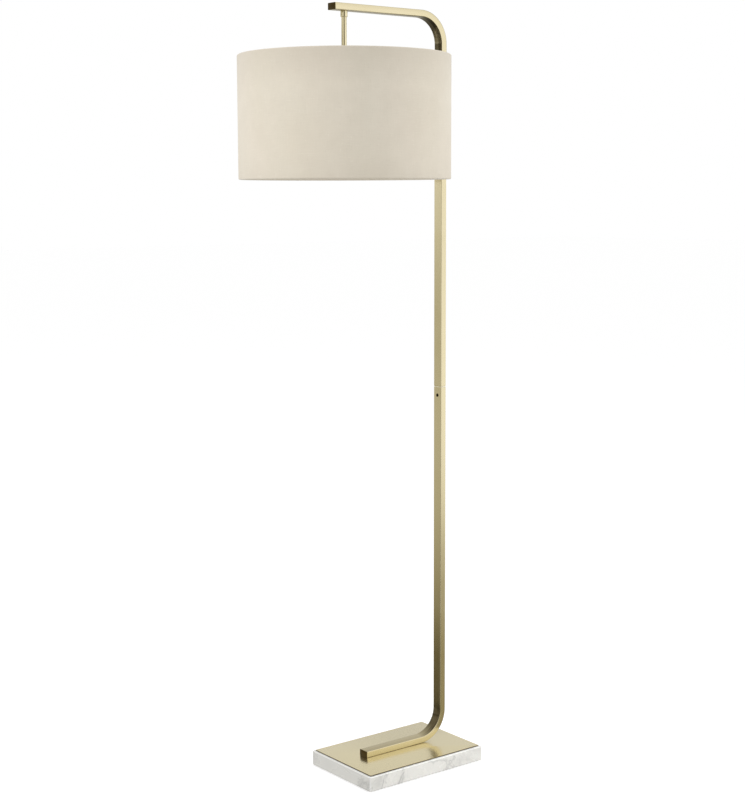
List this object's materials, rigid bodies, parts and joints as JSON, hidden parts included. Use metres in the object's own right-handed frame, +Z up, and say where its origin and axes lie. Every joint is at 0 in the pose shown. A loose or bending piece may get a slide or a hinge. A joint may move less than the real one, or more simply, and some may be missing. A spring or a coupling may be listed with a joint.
{
  "type": "arc floor lamp",
  "caption": "Floor lamp: a rectangular brass tube bent like a C on a marble base carries a drum fabric shade on a short rod.",
  "frame": {"origin": "centre of the underside of the felt under the marble base, on the floor", "axes": "+Z up; X along the long side of the base, the leg and the arm point to -X and the post stands on the +X side; Y across"},
  "size_m": [0.471, 0.402, 1.5],
  "materials": {
    "felt": "dense short-pile black felt",
    "marble": "polished white marble with soft grey diagonal veins",
    "antique_brass": "brushed satin antique brass plate, lacquered",
    "satin_brass": "bright turned brass",
    "contact_brass": "plain brass pressing",
    "steel": "zinc plated",
    "black_steel": "black oxide",
    "white_nylon": "moulded nylon",
    "black_plastic": "moulded phenolic, slightly glossy",
    "soft_black": "moulded, matt",
    "cap_plastic": "dark bronze moulded plug",
    "lead_sheath": "white PVC sheath",
    "porcelain": "glazed porcelain",
    "linen": "off-white linen-look weave with fine slubs",
    "shade_lining": "satin white styrene sheet",
    "white_wire": "white powder coat",
    "opal_diffuser": "satin opal",
    "bulb_plastic": "moulded, satin",
    "nickel": "nickel plated pressing",
    "black_glass": "vitreous insulator",
    "led_board": "white solder mask on aluminium"
  },
  "bodies": {
    "stand": {"base_felt": "felt", "marble_slab": "marble", "top_plate": "antique_brass", "base_screws": "steel", "base_washers": "steel", "nut_bar": "steel", "terminal_block": "white_nylon", "terminal_screws": "contact_brass", "cord_clamp": "soft_black", "clamp_screws": "steel", "cable_outlet": "soft_black", "lower_pole": "antique_brass", "leg_end_cap": "cap_plastic", "pole_connector": "satin_brass", "pole_screw": "black_steel", "upper_pole": "antique_brass", "arm_end_cap": "cap_plastic", "inner_lead": "lead_sheath", "arm_nipple": "contact_brass", "arm_washer": "steel", "arm_nut": "contact_brass", "rod_coupler": "antique_brass", "drop_rod": "antique_brass", "holder_cap": "black_plastic", "holder_skirt": "black_plastic", "holder_core": "porcelain", "screw_shell": "contact_brass", "centre_contact": "contact_brass", "contact_screws": "contact_brass"},
    "shade": {"shade_fabric": "linen", "shade_liner": "shade_lining", "shade_top_ring": "white_wire", "shade_bottom_ring": "white_wire", "shade_spider": "white_wire"},
    "shade_ring": {"shade_ring": "black_plastic"},
    "bulb": {"bulb_globe": "opal_diffuser", "bulb_body": "bulb_plastic", "bulb_cap": "nickel", "bulb_insulator": "black_glass", "bulb_contact": "contact_brass", "led_board": "led_board"}
  },
  "joints": [
    {"name": "shade_turn", "type": "hinge", "parent": "stand", "child": "shade", "pos_m": [-0.125, 0, 1.29], "axis": [0, 0, 1], "continuous": true},
    {"name": "shade_ring_turn", "type": "hinge", "parent": "stand", "child": "shade_ring", "pos_m": [-0.125, 0, 1.361], "axis": [0, 0, -1], "range_deg": [0, 2880]},
    {"name": "bulb_turn", "type": "hinge", "parent": "stand", "child": "bulb", "pos_m": [-0.125, 0, 1.3], "axis": [0, 0, -1], "range_deg": [0, 1440]}
  ]
}
